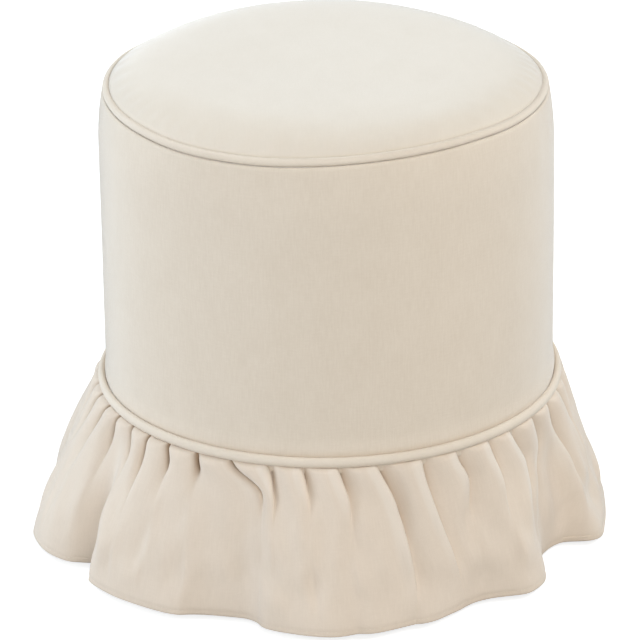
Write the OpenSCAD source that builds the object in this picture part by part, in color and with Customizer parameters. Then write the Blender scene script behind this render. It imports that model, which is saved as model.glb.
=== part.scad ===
// Round upholstered stool with a crowned, piped seat and a gathered skirt.
// A timber frame of two discs and six posts is wrapped in hardboard, foam and
// wadding. The sewn cover is pulled under the base and stapled behind a dust
// cover, and the skirt hides four low glides.
// Millimetres, +Z up, origin on the floor under the middle of the seat.

/* [Body] */
// Diameter of the upholstered wall
body_d = 432; // [380:1:500]
// Height of the seat seam, at the middle of its piping
seat_seam_z = 450; // [400:1:520]
// Rise of the crowned seat above its seam
crown_h = 24; // [12:1:40]
// How steeply the crown rises from its edge before it flattens
crown_bend = 10; // [4:1:12]
// Height over which the wall's top edge rounds in
shoulder_h = 52; // [30:1:70]
// How far the wall's top edge is drawn in
shoulder_in = 4.5; // [3:0.5:8]

/* [Cover] */
// Thickness of the upholstery cloth
cloth_t = 1.2; // [0.8:0.1:1.6]
// Seam allowance hidden inside each seam
allowance = 12; // [8:1:16]
// Radius of the cord in the seat piping
seat_cord_r = 2.7; // [2:0.1:4]
// Height of the cord in the skirt piping
skirt_cord_h = 7.6; // [6:0.2:10]
// Width of the cord in the skirt piping, squeezed against the wall
skirt_cord_w = 5.6; // [4:0.2:8]
// Turn of the cover's lower band under the base
band_turn = 26; // [18:1:40]

/* [Skirt] */
// Height of the skirt seam, at the middle of its piping
skirt_seam_z = 156; // [120:1:200]
// Thickness of the skirt's cloth with its turned hem
skirt_t = 1.6; // [1.2:0.1:2]
// Number of gathers sewn into the skirt seam
gathers = 39; // [24:1:39]
// Depth of a gather just below the seam
gather_depth = 9; // [4:0.5:12]
// Reach of the hem past the seam at its deepest valley
flare_in = 10; // [6:1:20]
// Reach of the hem past the seam at its farthest lobe
flare_out = 67.4; // [40:0.2:90]
// Height of the hem above the floor at its deepest valley
hem_z = 3; // [1:0.5:8]
// Extra height of the hem at its farthest lobe
hem_lift = 4; // [0:0.5:8]

/* [Padding] */
// Thickness of the wadding round the wall
side_wad_t = 14.2; // [8:0.1:20]
// Thickness of the wadding over the seat foam
seat_wad_t = 8; // [4:1:14]
// Height of the seat foam up to the seat seam
foam_h = 52; // [40:1:70]

/* [Frame] */
// Thickness of the top and base boards
board_t = 12; // [9:1:18]
// Thickness of the hardboard wrap
wrap_t = 3; // [2:0.5:4]
// Width of the gap where the hardboard's ends meet on a post
wrap_slit = 2; // [1:0.5:4]
// Width of a post
post_w = 45; // [38:1:60]
// Depth of a post
post_t = 20; // [16:1:30]
// Radius of a frame screw
screw_r = 2; // [1.5:0.1:2.5]
// Length of a frame screw
screw_l = 40; // [30:1:60]
// Distance between the two screws in a post's end
screw_gap = 24; // [16:1:30]

/* [Base] */
// Height of a glide
foot_h = 12; // [8:1:20]
// Radius of a glide where it meets the base
foot_r = 19; // [14:1:26]
// How far the glides stand in from the turned-under cover
foot_inset = 8; // [2:1:40]
// Rounding of a glide's lower edge
foot_round = 3; // [1:0.5:4]
// Thickness of the dust cover
dust_t = 0.6; // [0.4:0.1:1]
// Number of staples round the base
staples = 24; // [12:12:24]
// Width of a staple
staple_w = 10; // [6:1:14]
// Length of a staple's legs
staple_l = 9; // [6:1:12]
// Thickness of the staple wire
staple_t = 0.8; // [0.6:0.1:1]

/* [Hidden] */
$fn = 96;

// Clearances and shares that several pieces use
sew_gap = 0.3;        // between layers that are sewn or pressed together
cord_gap = 0.1;       // between a cord or a screw and what it runs in
overrun = 1;          // how far a cutting shape runs past a face
fold_r = 4;           // bend radius of the band at the bottom edge
lead_a = 6;           // angle left between a line that meets a piping and its turn round it
shoulder_bend = 1.7;  // how the drawing in of the top edge gathers pace

// Colours
linen = [0.89, 0.86, 0.80];
linen_light = [0.93, 0.91, 0.87];
cotton_cord = [0.95, 0.94, 0.90];
wadding_white = [0.97, 0.97, 0.96];
foam_yellow = [0.93, 0.87, 0.62];
plywood = [0.80, 0.66, 0.46];
hardboard = [0.45, 0.31, 0.20];
pine = [0.87, 0.73, 0.50];
zinc = [0.74, 0.75, 0.77];
black_plastic = [0.12, 0.12, 0.13];
black_cloth = [0.16, 0.16, 0.17];

// Wall, seat piping and where the sewn layers lie at the seat seam
body_r = body_d/2;
wall_r = body_r - cloth_t/2;
seat_pipe_r = seat_cord_r + cord_gap + cloth_t;
edge_r = wall_r - shoulder_in;
seat_ring_r = edge_r - seat_pipe_r;
wrap_round_r = seat_pipe_r + sew_gap + cloth_t/2;
layer_step = cloth_t + sew_gap + cloth_t/2;
crown_r = seat_ring_r - wrap_round_r;
outer_touch_a = acos(seat_pipe_r/wrap_round_r);
turn_down_a = acos(layer_step/wrap_round_r);
turn_down_z = seat_seam_z - wrap_round_r*sin(turn_down_a);
shoulder_z = seat_seam_z - shoulder_h;
shoulder_top_z = seat_seam_z - wrap_round_r*sin(outer_touch_a);

// Skirt piping and the layers at the skirt seam
skirt_pipe_w = skirt_cord_w + 2*(cord_gap + cloth_t);
skirt_pipe_h = skirt_cord_h + 2*(cord_gap + cloth_t);
skirt_ring_r = body_r + sew_gap + skirt_pipe_w/2;
flange_in_r = body_r + sew_gap;
flange_out_r = flange_in_r + 2*cloth_t;
skirt_r = flange_out_r + sew_gap + skirt_t;
skirt_top_z = skirt_seam_z - skirt_pipe_h/2 - sew_gap;
band_r = wall_r - cloth_t - sew_gap;

// Frame, stacked from the glides up
base_z = foot_h + dust_t;
top_z = seat_seam_z - foam_h;
wad_low_r = band_r - cloth_t/2 - sew_gap;
wad_high_r = wall_r - cloth_t/2 - sew_gap;
wrap_r = wad_high_r - side_wad_t - sew_gap;
board_r = wrap_r - wrap_t - sew_gap;
post_out_r = sqrt(pow(board_r, 2) - pow(post_w/2, 2));
posts = 6;            // one node each
post_a0 = 30;
post_step = 360/posts;
head_r = 2*screw_r;
head_h = head_r - screw_r;

// Underside
band_in_r = band_r - fold_r - band_turn;
dust_step = 3*cloth_t;
dust_flat_r = band_in_r - 2*dust_step;
dust_edge_r = (band_in_r + board_r + wrap_t)/2 + staple_t*3;
staple_r = (band_in_r + board_r)/2;
foot_ring_r = dust_flat_r - foot_r - foot_inset;
foot_screw_r = screw_r*1.1;
foot_head_r = 2*foot_screw_r;
foot_head_h = foot_head_r - foot_screw_r;
foot_head_z = foot_h*0.3;
foot_screw_top_z = base_z + board_t*0.9;

// The hem's lobes as [angle, share of the reach between flare_in and flare_out]
hem_shares = [
    [-180, 0.66], [-172, 1], [-163, 0.98], [-157, 0.9], [-154, 0.66], [-150, 0.26], [-146, 0.85],
    [-139, 0.9], [-124, 0.8], [-117, 0.48], [-110, 0.37], [-103, 0.7], [-96, 0.85], [-89, 0.93],
    [-80, 0.84], [-70, 0.74], [-64, 0.54], [-58, 0.37], [-52, 0.5], [-46, 0.72], [-41, 0.67],
    [-35, 0.25], [-28, 0.02], [-23, 0.1], [-17, 0.72], [-6, 0.82], [8, 0.83], [16, 0.78],
    [24, 0.36], [34, 0.74], [44, 0.84], [53, 0.62], [60, 0.3], [68, 0.68], [82, 0.9], [94, 0.88],
    [103, 0.55], [109, 0.27], [118, 0.7], [130, 0.86], [141, 0.6], [148, 0.2], [154, 0.78],
    [160, 0.98], [167, 0.72], [174, 0.36], [180, 0.66]
];
// Where the skirt is drawn between its seam and its hem, and across one gather
drop_shares = [0, 0.06, 0.42, 1];
gather_shares = [0, 0.16, 0.5, 0.84];
// How the flare runs from seam to hem, and how a gather fades on the way down
flare_bend = 0.7;
fade_bend = 1.5;

// A line of points moved sideways by d, to its left where d is positive
function direction(a, b) = (b - a)/norm(b - a);
function side_step(line, i) =
    let (
        last = len(line) - 1,
        ahead = direction(line[max(0, i - 1)], line[min(last, i + 1)])
    )
    [-ahead[1], ahead[0]];
function beside(line, d) = [
    for (i = [0:len(line) - 1])
        let (p = line[i] + d*side_step(line, i))
        [max(0, p[0]), p[1]]
];
function backwards(line) = [for (i = [len(line) - 1:-1:0]) line[i]];
// The outline of a cloth that follows a line
function ribbon(line, t) = concat(beside(line, t/2), backwards(beside(line, -t/2)));
// Points along an arc round a centre
function arc(centre, r, from, to, steps) = [
    for (i = [0:steps])
        let (a = from + (to - from)*i/steps)
        centre + r*[cos(a), sin(a)]
];

// Height of the crown's middle line at a radius
function crown_z(r) = seat_seam_z + (crown_h - cloth_t/2)*(1 - pow(r/crown_r, crown_bend));
function crown_line() = [for (a = [0:5:90]) [crown_r*sin(a), crown_z(crown_r*sin(a))]];
// How far the wall is drawn in at a share of its shoulder
function drawn_in(s) = shoulder_in*pow(s, shoulder_bend);
function shoulder_line(r, from, to, steps) = [
    for (i = [0:steps])
        let (s = from + (to - from)*i/steps)
        [r - drawn_in(s), shoulder_z + s*(shoulder_top_z - shoulder_z)]
];

// Smooth value of a table of [angle, share] at an angle between its ends
function table_at(table, a) =
    let (
        k = max([for (i = [0:len(table) - 2]) if (table[i][0] <= a) i]),
        s = (a - table[k][0])/(table[k + 1][0] - table[k][0]),
        eased = (1 - cos(180*s))/2
    )
    table[k][1]*(1 - eased) + table[k + 1][1]*eased;
function wrapped(a) = a - 360*floor((a + 180)/360);

// Angle of one sample across the gathers, with an uneven pitch as in hand gathering
function gather_a(i) = (360/gathers)*(i + 0.2*sin(360*7*i/gathers));
function sample_a(j) =
    let (
        per = len(gather_shares),
        i = floor(j/per),
        s = gather_shares[j - per*i]
    )
    gather_a(i)*(1 - s) + gather_a(i + 1)*s;
// The gathers lean away from the front as they run down
function lean(a, drop) = drop*(1.5 + 4*cos(a));
// A gather is a crease at its first sample, with broad cloth between creases
function crease(j) = j % len(gather_shares) == 0 ? 1 : 0;
function fade(drop) = min(1, drop/drop_shares[1])*pow(1 - drop, fade_bend);
function skirt_point(j, drop, inward) =
    let (
        seam_a = sample_a(j),
        a = seam_a + lean(seam_a, drop),
        share = table_at(hem_shares, wrapped(a)),
        reach = flare_in + (flare_out - flare_in)*share,
        r = skirt_r + reach*pow(drop, flare_bend) - gather_depth*crease(j)*fade(drop) - inward,
        low_z = hem_z + hem_lift*share
    )
    [r*cos(a), r*sin(a), skirt_top_z - drop*(skirt_top_z - low_z)];

module skirt_shell() {
    n = gathers*len(gather_shares);
    levels = len(drop_shares);
    skin = n*levels;
    points = [
        for (inward = [0, skirt_t])
            for (drop = drop_shares)
                for (j = [0:n - 1])
                    skirt_point(j, drop, inward)
    ];
    // Two triangles between four corners, in this order as seen from outside. Both
    // skins are split along the same diagonal, so that they stay one cloth apart
    function pair(a, b, c, d) = [[a, b, c], [a, c, d]];
    faces = [
        for (j = [0:n - 1])
            let (k = (j + 1) % n)
            each concat(
                [
                    for (l = [0:levels - 2])
                        each pair(l*n + j, l*n + k, (l + 1)*n + k, (l + 1)*n + j)
                ],
                [
                    for (l = [0:levels - 2])
                        each pair(skin + (l + 1)*n + k, skin + l*n + k, skin + l*n + j, skin + (l + 1)*n + j)
                ],
                pair(skin + j, skin + k, k, j),
                pair((levels - 1)*n + j, (levels - 1)*n + k, skin + (levels - 1)*n + k, skin + (levels - 1)*n + j)
            )
    ];
    polyhedron(points = points, faces = faces, convexity = 10);
}

module ring(outline) {
    rotate_extrude() polygon(outline);
}

module tube_ring(in_r, out_r, low_z, high_z) {
    ring([[in_r, low_z], [out_r, low_z], [out_r, high_z], [in_r, high_z]]);
}

// An oval ring round the body, for the skirt piping and its cord
module oval_ring(ring_r, z, w, h) {
    ring([for (a = [0:12:348]) [ring_r + w/2*cos(a), z + h/2*sin(a)]]);
}

module round_ring(ring_r, z, r) {
    rotate_extrude() translate([ring_r, z]) circle(r);
}

// A countersunk screw pointing up from its head at z = 0, widened by a clearance
module screw(r, length, cone_r, cone_h, clear) {
    translate([0, 0, -clear]) cylinder(h = cone_h + clear, r1 = cone_r + clear, r2 = r + clear);
    cylinder(h = length + clear, r = r + clear);
}

// Both screws in one end of every post, from the underside of the base board
module post_screws(clear) {
    for (i = [0:posts - 1])
        for (side = [-1, 1])
            rotate([0, 0, post_a0 + post_step*i])
                translate([post_out_r - post_t/2, side*screw_gap/2, 0])
                    screw(screw_r, screw_l, head_r, head_h, clear);
}

module all_frame_screws(clear) {
    translate([0, 0, base_z]) post_screws(clear);
    translate([0, 0, top_z]) mirror([0, 0, 1]) post_screws(clear);
}

module at_feet(i) {
    rotate([0, 0, 45 + 90*i]) translate([foot_ring_r, 0, 0]) children();
}

module foot_screw(clear) {
    translate([0, 0, foot_head_z])
        screw(foot_screw_r, foot_screw_top_z - foot_head_z, foot_head_r, foot_head_h, clear);
}

module all_foot_screws(clear) {
    for (i = [0:3])
        at_feet(i) foot_screw(clear);
}

// Staples with their crowns on the dust cover and their legs up in the base board
module all_staples(clear) {
    crown_z0 = base_z - cloth_t - dust_t - staple_t;
    leg_side = staple_t + 2*clear;
    for (i = [0:staples - 1])
        rotate([0, 0, 360/staples*(i + 0.5)])
            translate([staple_r, 0, crown_z0]) {
                translate([-leg_side/2, -staple_w/2 - clear, 0])
                    cube([leg_side, staple_w + 2*clear, staple_t]);
                for (end = [-1, 1])
                    translate([-leg_side/2, end*(staple_w - staple_t)/2 - leg_side/2, 0])
                        cube([leg_side, leg_side, staple_l + clear]);
            }
}

module post(i) {
    color(pine) difference() {
        rotate([0, 0, post_a0 + post_step*i])
            translate([post_out_r - post_t, -post_w/2, base_z + board_t])
                cube([post_t, post_w, top_z - base_z - 2*board_t]);
        all_frame_screws(cord_gap);
    }
}

module foot(i) {
    low_r = foot_r*0.9;
    color(black_plastic) at_feet(i) difference() {
        ring(concat(
            [[0, 0]],
            arc([low_r - foot_round, foot_round], foot_round, -90, 0, 6),
            [[foot_r, foot_h], [0, foot_h]]
        ));
        foot_screw(cord_gap);
        translate([0, 0, -overrun]) cylinder(h = foot_head_z + overrun, r = foot_head_r + cord_gap);
    }
}

module seat_cover() {
    line = concat(
        crown_line(),
        arc([seat_ring_r, seat_seam_z], wrap_round_r, 180 + 2*lead_a, 180 + turn_down_a, 4),
        [[seat_ring_r - layer_step, turn_down_z - allowance]]
    );
    color(linen_light) ring(ribbon(line, cloth_t));
}

module seat_piping() {
    color(linen_light) difference() {
        union() {
            round_ring(seat_ring_r, seat_seam_z, seat_pipe_r);
            tube_ring(seat_ring_r - cloth_t, seat_ring_r + cloth_t, turn_down_z - allowance, seat_seam_z);
        }
        round_ring(seat_ring_r, seat_seam_z, seat_cord_r + cord_gap);
    }
}

module seat_piping_cord() {
    color(cotton_cord) round_ring(seat_ring_r, seat_seam_z, seat_cord_r);
}

module side_cover() {
    line = concat(
        [[wall_r, skirt_seam_z - allowance]],
        shoulder_line(wall_r, 0, 1, 10),
        arc([seat_ring_r, seat_seam_z], wrap_round_r, -outer_touch_a - lead_a, -turn_down_a, 3),
        [[seat_ring_r + layer_step, turn_down_z - allowance]]
    );
    color(linen) ring(ribbon(line, cloth_t));
}

module skirt_piping() {
    color(linen_light) difference() {
        union() {
            oval_ring(skirt_ring_r, skirt_seam_z, skirt_pipe_w, skirt_pipe_h);
            tube_ring(flange_in_r, flange_out_r, skirt_seam_z - allowance, skirt_seam_z);
        }
        oval_ring(skirt_ring_r, skirt_seam_z, skirt_cord_w + 2*cord_gap, skirt_cord_h + 2*cord_gap);
    }
}

module skirt_piping_cord() {
    color(cotton_cord) oval_ring(skirt_ring_r, skirt_seam_z, skirt_cord_w, skirt_cord_h);
}

module ruffle_skirt() {
    color(linen) skirt_shell();
}

module under_band() {
    fold_z = base_z - cloth_t/2 + fold_r;
    line = concat(
        [[band_r, skirt_seam_z]],
        arc([band_r - fold_r, fold_z], fold_r, 0, -90, 6),
        [[band_in_r, base_z - cloth_t/2]]
    );
    color(linen) difference() {
        ring(ribbon(line, cloth_t));
        all_staples(cord_gap);
    }
}

module seat_wadding() {
    top = beside(crown_line(), -cloth_t/2 - sew_gap);
    low = beside(crown_line(), -cloth_t/2 - sew_gap - seat_wad_t);
    color(wadding_white) ring(concat(top, backwards(low)));
}

module seat_foam() {
    top = beside(crown_line(), -cloth_t/2 - 2*sew_gap - seat_wad_t);
    edge_z = turn_down_z - allowance/2;
    color(foam_yellow) ring(concat([[0, top_z], [wrap_r, top_z], [wrap_r, edge_z]], backwards(top)));
}

module side_wadding() {
    low_z = base_z + sew_gap;
    top_share = (turn_down_z - allowance - sew_gap - shoulder_z)/(shoulder_top_z - shoulder_z);
    fold_centre = [band_r - fold_r, base_z - cloth_t/2 + fold_r];
    in_r = wrap_r + sew_gap;
    shoulder = shoulder_line(wad_high_r, 0, top_share, 8);
    color(wadding_white) ring(concat(
        [[in_r, low_z]],
        arc(fold_centre, fold_r - cloth_t/2 - sew_gap, -90, 0, 6),
        [[wad_low_r, skirt_seam_z + sew_gap], [wad_high_r, skirt_seam_z + sew_gap]],
        shoulder,
        [[in_r, shoulder[len(shoulder) - 1][1]]]
    ));
}

module top_board() {
    color(plywood) difference() {
        translate([0, 0, top_z - board_t]) cylinder(h = board_t, r = board_r);
        all_frame_screws(cord_gap);
    }
}

module base_board() {
    color(plywood) difference() {
        translate([0, 0, base_z]) cylinder(h = board_t, r = board_r);
        all_frame_screws(cord_gap);
        all_foot_screws(cord_gap);
        all_staples(cord_gap);
    }
}

module side_board() {
    slit_a = 360*wrap_slit/(2*PI*wrap_r);
    color(hardboard)
        rotate([0, 0, 90 + slit_a/2])
            rotate_extrude(angle = 360 - slit_a)
                translate([wrap_r - wrap_t, base_z]) square([wrap_t, top_z - base_z]);
}

module upright_1() { post(0); }
module upright_2() { post(1); }
module upright_3() { post(2); }
module upright_4() { post(3); }
module upright_5() { post(4); }
module upright_6() { post(5); }

module frame_screws() {
    color(zinc) all_frame_screws(0);
}

module foot_1() { foot(0); }
module foot_2() { foot(1); }
module foot_3() { foot(2); }
module foot_4() { foot(3); }

module foot_screws() {
    color(zinc) all_foot_screws(0);
}

module dust_cover() {
    line = [
        [0, base_z - dust_t/2],
        [dust_flat_r, base_z - dust_t/2],
        [band_in_r - dust_step, base_z - dust_t/2],
        [band_in_r - sew_gap, base_z - cloth_t - dust_t/2],
        [band_in_r + dust_step, base_z - cloth_t - dust_t/2],
        [dust_edge_r, base_z - cloth_t - dust_t/2]
    ];
    color(black_cloth) difference() {
        ring(ribbon(line, dust_t));
        all_foot_screws(cord_gap);
        all_staples(cord_gap);
    }
}

module cover_staples() {
    color(zinc) all_staples(0);
}

seat_cover();
seat_piping();
seat_piping_cord();
side_cover();
skirt_piping();
skirt_piping_cord();
ruffle_skirt();
under_band();
seat_wadding();
seat_foam();
side_wadding();
top_board();
base_board();
side_board();
upright_1();
upright_2();
upright_3();
upright_4();
upright_5();
upright_6();
frame_screws();
foot_1();
foot_2();
foot_3();
foot_4();
foot_screws();
dust_cover();
cover_staples();
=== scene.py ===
# %% [markdown]
# # Dressing a round stool with a gathered skirt
# The solid pieces come packed from the CAD model, in one frame and in metres. This
# lesson gives them their cloth, padding, wood, plastic and metal. The finished look has
# to stay inside the CAD model's outer box.

# %% Load the frame
from collections import namedtuple
from math import acos, atan2, cos, degrees, exp, hypot, pi, radians, sin

import bmesh
import bpy
from mathutils import Matrix, Vector, noise


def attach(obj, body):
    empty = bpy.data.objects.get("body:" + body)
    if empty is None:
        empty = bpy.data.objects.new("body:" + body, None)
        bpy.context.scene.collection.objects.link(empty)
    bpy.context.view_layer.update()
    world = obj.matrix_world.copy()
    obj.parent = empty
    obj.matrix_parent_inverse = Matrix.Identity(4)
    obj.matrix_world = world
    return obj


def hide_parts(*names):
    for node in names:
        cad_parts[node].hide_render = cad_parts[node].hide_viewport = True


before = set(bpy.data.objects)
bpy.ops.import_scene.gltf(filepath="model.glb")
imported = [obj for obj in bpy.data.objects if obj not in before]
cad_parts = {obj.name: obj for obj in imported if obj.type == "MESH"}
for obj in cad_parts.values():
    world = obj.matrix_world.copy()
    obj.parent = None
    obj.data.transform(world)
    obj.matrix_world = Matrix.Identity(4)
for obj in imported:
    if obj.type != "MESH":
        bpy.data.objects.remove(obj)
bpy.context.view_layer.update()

mm = 0.001


def added(name, data):
    """A new object in the scene, at the origin."""
    thing = bpy.data.objects.new(name, data)
    bpy.context.scene.collection.objects.link(thing)
    return thing


def made(name, shape):
    """A new object from a bmesh."""
    data = bpy.data.meshes.new(name)
    shape.to_mesh(data)
    shape.free()
    return added(name, data)


# %% [markdown]
# ## Camera
# A long lens a few metres away, looking down a little, keeps upright sides nearly
# parallel. A short lens up close would spread the skirt and shrink the stool's foot.
# The small roll and shift are those of a hand-set tripod.

# %% Camera
lens = bpy.data.cameras.new("long_lens")
lens.sensor_width, lens.lens, lens.shift_x = 36, 275.06, -0.0142
lens.clip_start, lens.clip_end = 0.1, 60
camera = added("camera", lens)
camera.matrix_world = (
    Matrix.Translation((0, -4.330, 2.077))
    @ Matrix.Rotation(radians(66.62), 4, "X")
    @ Matrix.Rotation(radians(-0.85), 4, "Z")
)
bpy.context.scene.camera = camera

# %% [markdown]
# ## Light
# Pale cloth shows its folds only if light comes from one side, but a hard lamp cuts
# them into black lines. So a broad, cool lamp stands low on the left like a window, a
# warmer one hangs high on the right, and a wider one fills the front. Two lamps behind
# lift the seat and draw a pale rim down both sides.

# %% Lamps
def soft_lamp(name, power, width, place, height, colour):
    """A square lamp that looks at the stool's middle line, at a height."""
    light = bpy.data.lights.new(name, "AREA")
    light.energy, light.size, light.color = power, width, colour
    lamp = added(name, light)
    lamp.location = place
    ahead = Vector((0, 0, height)) - Vector(place)
    lamp.rotation_euler = ahead.to_track_quat("-Z", "Y").to_euler()


daylight, skylight = (0.82, 0.9, 1.0), (0.79, 0.91, 1.0)
soft_lamp("left_window", 62, 1.8, (-3.3, -0.7, 1.1), 0.22, daylight)
soft_lamp("right_lamp", 56, 1.8, (2.6, -1.0, 2.9), 0.22, (1.0, 0.985, 0.97))
soft_lamp("front_fill", 81, 2.6, (0.5, -4.1, 2.1), 0.2, (1.0, 0.985, 0.95))
soft_lamp("back_left", 63, 1.8, (-2.4, 1.9, 2.1), 0.3, skylight)
soft_lamp("back_right", 50, 1.8, (2.3, 2.0, 2.1), 0.3, skylight)

# %% [markdown]
# ## Shader arithmetic
# A material is a net of nodes, which is hard to read in code. Here a socket is wrapped
# in a small class, so that `1 - mask` or `warp * 0.5` adds the Math nodes by itself.
# Every other node comes from one method.

# %% Values and finishes
class Value:
    """A number, colour or vector that varies over a surface."""

    def __init__(self, finish, socket):
        self.finish, self.socket = finish, socket

    def reckon(self, operation, *values):
        return self.finish.node("ShaderNodeMath", {"operation": operation}, *values)

    def __add__(self, other): return self.reckon("ADD", self, other)
    def __radd__(self, other): return self.reckon("ADD", other, self)
    def __sub__(self, other): return self.reckon("SUBTRACT", self, other)
    def __rsub__(self, other): return self.reckon("SUBTRACT", other, self)
    def __mul__(self, other): return self.reckon("MULTIPLY", self, other)
    def __rmul__(self, other): return self.reckon("MULTIPLY", other, self)
    def __abs__(self): return self.reckon("ABSOLUTE", self)

    def sine(self): return self.reckon("SINE", self)
    def above(self, limit): return self.reckon("GREATER_THAN", self, limit)


class Finish:
    """A material and the few calls that build its nodes."""

    def __init__(self, name, roughness=0.9, **shader):
        self.material = bpy.data.materials.new(name)
        self.open_net(self.material)
        self.shader = self.nodes["Principled BSDF"]
        self.shader.inputs["Roughness"].default_value = roughness
        for socket, value in shader.items():
            self.shader.inputs[socket.replace("_", " ")].default_value = value

    def open_net(self, owner):
        owner.use_nodes = True
        self.nodes, self.links = owner.node_tree.nodes, owner.node_tree.links

    def feed(self, socket, value):
        if isinstance(value, Value):
            self.links.new(value.socket, socket)
        else:
            socket.default_value = value

    def node(self, kind, settings=None, *values, output=0, **named):
        new = self.nodes.new(kind)
        for setting, value in (settings or {}).items():
            setattr(new, setting, value)
        for socket, value in zip(new.inputs, values):
            self.feed(socket, value)
        for socket, value in named.items():
            self.feed(new.inputs[socket.replace("_", " ")], value)
        return Value(self, new.outputs[output])

    def place(self):
        """Where a point lies in the shared frame, in metres."""
        return self.node("ShaderNodeTexCoord", output=3)

    def cut(self, turn=0.0):
        """Where a point lies on the flat cloth, in metres, with the weave turned."""
        flat = self.node("ShaderNodeUVMap", {"uv_map": "weave"})
        return self.node("ShaderNodeMapping", None, flat, Rotation=(0, 0, turn))

    def stretched(self, vector, x, y, z=1.0):
        return self.node("ShaderNodeVectorMath", {"operation": "MULTIPLY"}, vector, (x, y, z))

    def mark(self, name):
        """A value that was kept on the piece's points."""
        return self.node("ShaderNodeAttribute", {"attribute_name": name}, output=2)

    def part(self, vector, axis):
        return self.node("ShaderNodeSeparateXYZ", None, vector, output="XYZ".index(axis))

    def speckle(self, vector, scale=1.0, detail=2.0, roughness=0.5):
        settings = dict(Scale=scale, Detail=detail, Roughness=roughness)
        return self.node("ShaderNodeTexNoise", None, vector, **settings)

    def ramp(self, factor, low, high):
        """0 up to low, 1 from high, and smooth between them."""
        smooth_step = {"interpolation_type": "SMOOTHSTEP"}
        return self.node("ShaderNodeMapRange", smooth_step, factor, low, high)

    def blend(self, factor, first, second):
        """A colour between two, by a factor from 0 to 1."""
        mixed = self.nodes.new("ShaderNodeMix")
        mixed.data_type = "RGBA"
        for k, value in ((0, factor), (6, first), (7, second)):
            self.feed(mixed.inputs[k], value)
        return Value(self, mixed.outputs[2])

    def surface(self, colour, roughness=None, height=None, rise=0.0002, strength=0.5):
        self.feed(self.shader.inputs["Base Color"], colour)
        if roughness:
            self.feed(self.shader.inputs["Roughness"], roughness)
        if height:
            relief = dict(Strength=strength, Distance=rise, Height=height)
            self.feed(self.shader.inputs["Normal"], self.node("ShaderNodeBump", None, **relief))
        return self.material


def paint(red, green, blue):
    """A colour as seen on a screen, 0 to 255, turned into the light it stands for."""
    return (*(((x / 255 + 0.055) / 1.055) ** 2.4 for x in (red, green, blue)), 1.0)


# %% [markdown]
# ## Room and floor
# White paper would be lit until it clips, and that light would wash out the cloth. So
# the floor and the room are plain white only where the camera or a reflection looks at
# them, and the floor keeps part of its own shading for the soft shadow under the skirt.

# %% Room
def seen_directly(finish):
    """1 for what the camera, a mirror or glass looks at, and 0 for the light."""
    seen, mirrored, through = (
        finish.node("ShaderNodeLightPath", output=f"Is {ray} Ray")
        for ray in ("Camera", "Glossy", "Transmission")
    )
    return (seen + mirrored + through).above(0.5)


class RoomFinish(Finish):
    """The same calls for the world's own nodes."""

    def __init__(self, world):
        self.open_net(world)


white = (1, 1, 1, 1)
room_world = bpy.data.worlds.new("pale_room")
bpy.context.scene.world = room_world
room = RoomFinish(room_world)
room_light = room.nodes["Background"]
room_light.inputs["Color"].default_value = white
ambient = 0.24
room.feed(room_light.inputs["Strength"], ambient + seen_directly(room) * (1 - ambient))

# %% Floor
floor_shape = bmesh.new()
bmesh.ops.create_grid(floor_shape, x_segments=8, y_segments=8, size=9)
floor = made("floor", floor_shape)
paper = Finish("paper_floor", roughness=1.0, Specular_IOR_Level=0.0)
grain = paper.speckle(paper.place(), scale=3.0, detail=3.0)
paper.surface(colour=paper.blend(grain, (0.50, 0.498, 0.49, 1), (0.53, 0.528, 0.52, 1)))
lift = 0.78                 # how far the floor's own shade is lifted towards white
glow = paper.node("ShaderNodeEmission", None, white, seen_directly(paper) * lift)
both = paper.node("ShaderNodeAddShader", None, Value(paper, paper.shader.outputs[0]), glow)
paper.feed(paper.nodes["Material Output"].inputs["Surface"], both)
floor.data.materials.append(paper.material)
print("floor and room are white to the camera, ambient light", ambient)

# %% [markdown]
# ## How the cloth pieces are made
# A sewn cover starts as flat panels, and so does each cloth piece here: a flat grid
# stands for the cut panel. Its own place becomes the map that the weave is drawn on,
# and then every point is carried to where it ends up on the stool. So the weave runs as
# in real cloth, straight down the wall and straight across the seat.

# %% Cloth from a flat grid
def cloth_piece(name, columns, rows, place, cut, thickness, mark=None):
    """A flat grid, mapped by cut(s, t) and carried to place(s, t), s and t from 0 to 1.

    A mark is a name and a function of s and t, kept on the points for the finish."""
    cloth = bmesh.new()
    bmesh.ops.create_grid(cloth, x_segments=columns, y_segments=rows, size=0.5)
    weave = cloth.loops.layers.uv.new("weave")
    for face in cloth.faces:
        face.smooth = True
        for corner in face.loops:
            corner[weave].uv = cut(corner.vert.co.x + 0.5, corner.vert.co.y + 0.5)
    written = cloth.verts.layers.float.new(mark[0]) if mark else None
    for point in cloth.verts:
        s, t = point.co.x + 0.5, point.co.y + 0.5
        if mark:
            point[written] = mark[1](s, t)
        point.co = place(s, t)
    bmesh.ops.remove_doubles(cloth, verts=cloth.verts, dist=0.02 * mm)
    piece = finished(name, cloth)
    if thickness:
        thicken(piece, thickness, offset=0)
    return piece


def finished(name, shape):
    """A piece of the stool, which rides on its only body."""
    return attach(made(name, shape), "root")


def thicken(piece, thickness, offset):
    """Gives a sheet its thickness, half on each side at 0 and all inwards at -1."""
    body = piece.modifiers.new("cloth", "SOLIDIFY")
    body.thickness, body.offset = thickness, offset


def dress(piece, material, slot):
    piece.data.materials.clear()
    piece.data.materials.append(material)


# %% [markdown]
# Most panels of a round stool follow one outline all the way round: a list of points,
# each a distance from the middle and a height. Walking along it by its own length keeps
# the weave from stretching.

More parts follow.
